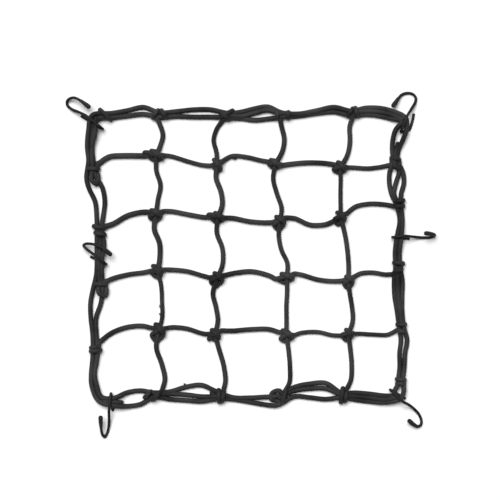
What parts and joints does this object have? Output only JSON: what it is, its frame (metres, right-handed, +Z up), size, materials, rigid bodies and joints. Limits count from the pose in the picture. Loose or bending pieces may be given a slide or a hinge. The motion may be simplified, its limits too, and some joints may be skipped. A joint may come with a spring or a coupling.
{
  "type": "cargo net",
  "caption": "Square net knotted from black elastic cord with a doubled cord rim and coated wire hooks along its edges, lying flat and slack.",
  "frame": {"origin": "middle of the bounding box on the plan, on the surface that the net lies on", "axes": "+Z up from the surface, +X towards the side with the upright hook, +Y towards the side with two hooks that curl back over it"},
  "size_m": [0.3714, 0.3464, 0.0159],
  "materials": {
    "elastic_cord": "fine braided polyester cover, matt",
    "hook_wire": "black coated steel wire, satin",
    "hook_tip": "dipped black vinyl, soft sheen"
  },
  "bodies": {
    "root": {"net": "elastic_cord", "hook_wire_back_left": "hook_wire", "hook_wire_back_right": "hook_wire", "hook_wire_left": "hook_wire", "hook_wire_right": "hook_wire", "hook_wire_front_left": "hook_wire", "hook_wire_front_right": "hook_wire", "hook_tip_back_left": "hook_tip", "hook_tip_back_right": "hook_tip", "hook_tip_left": "hook_tip", "hook_tip_right": "hook_tip", "hook_tip_front_left": "hook_tip", "hook_tip_front_right": "hook_tip"}
  },
  "joints": []
}
